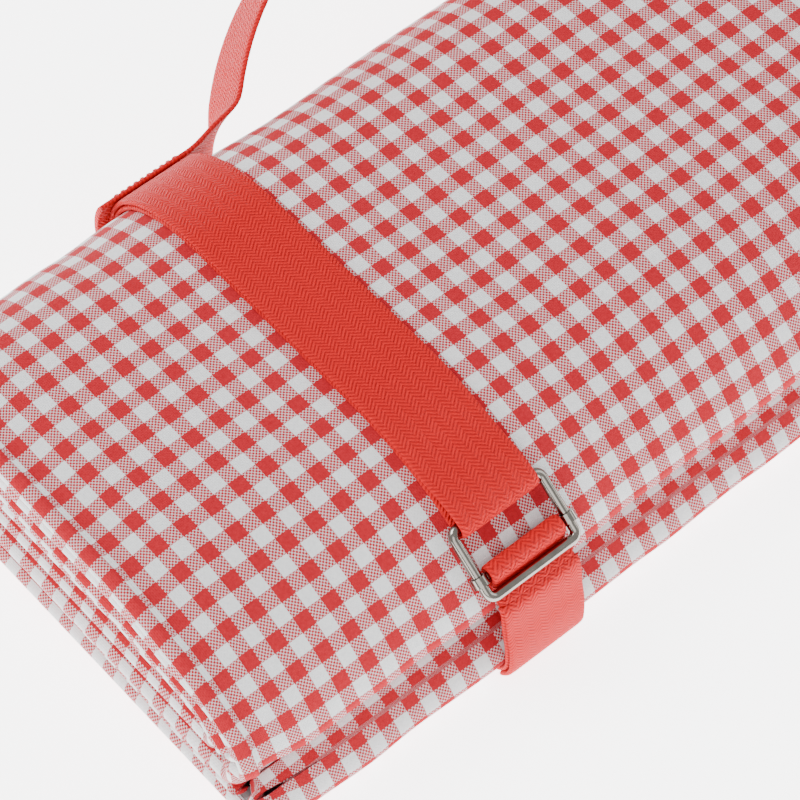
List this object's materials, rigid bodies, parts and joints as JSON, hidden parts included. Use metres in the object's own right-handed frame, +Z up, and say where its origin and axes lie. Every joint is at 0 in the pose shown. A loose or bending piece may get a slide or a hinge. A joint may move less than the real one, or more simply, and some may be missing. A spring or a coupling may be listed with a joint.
{
  "type": "rolled picnic blanket with carrying straps",
  "caption": "Padded gingham blanket, folded and rolled flat, held by two webbing loops with sliding-bar wire buckles and joined by a webbing carrying handle.",
  "frame": {"origin": "bottom middle of the whole object's box, with the handle as it stands", "axes": "+X along the roll, -Y to the front with the buckles, +Z up"},
  "size_m": [0.44, 0.2347, 0.0759],
  "materials": {
    "gingham": "woven cotton, red and white gingham",
    "wadding": "soft",
    "backing": "grey coated cloth",
    "webbing": "herringbone cotton webbing",
    "thread": "sewing thread",
    "nickel": "bright nickel"
  },
  "bodies": {
    "blanket": {"cover_cloth": "gingham", "cover_fold": "gingham", "wadding_outer": "wadding", "wadding_inner": "wadding", "backing": "backing", "hem_right": "gingham"},
    "carrier": {"strap_left": "webbing", "strap_right": "webbing", "tail_left": "webbing", "tail_right": "webbing", "patch_left": "webbing", "patch_right": "webbing", "stitch_left": "thread", "stitch_right": "thread", "root_left": "webbing", "root_right": "webbing"},
    "frame_left": {"frame_left": "nickel"},
    "frame_right": {"frame_right": "nickel"},
    "bar_left": {"bar_left": "nickel", "bight_left": "webbing"},
    "bar_right": {"bar_right": "nickel", "bight_right": "webbing"},
    "handle": {"handle_arch": "webbing"}
  },
  "joints": [
    {"name": "carrier_slide", "type": "slide", "parent": "blanket", "child": "carrier", "axis": [1, 0, 0], "range_m": [-0.06, 0.06]},
    {"name": "frame_tilt_left", "type": "hinge", "parent": "carrier", "child": "frame_left", "pos_m": [-0.115, -0.09161, 0.05704], "axis": [-1, 0, 0], "range_deg": [0, 40]},
    {"name": "bar_slide_left", "type": "slide", "parent": "frame_left", "child": "bar_left", "axis": [0, 0.7986, 0.6018], "range_m": [0, 0.008], "deforming": ["bight_left"]},
    {"name": "frame_tilt_right", "type": "hinge", "parent": "carrier", "child": "frame_right", "pos_m": [0.115, -0.09161, 0.05704], "axis": [-1, 0, 0], "range_deg": [0, 40]},
    {"name": "bar_slide_right", "type": "slide", "parent": "frame_right", "child": "bar_right", "axis": [0, 0.7986, 0.6018], "range_m": [0, 0.008], "deforming": ["bight_right"]},
    {"name": "handle_swing", "type": "hinge", "parent": "carrier", "child": "handle", "pos_m": [0, 0.0812, 0.04414], "axis": [1, 0, 0], "range_deg": [-60, 75]}
  ]
}
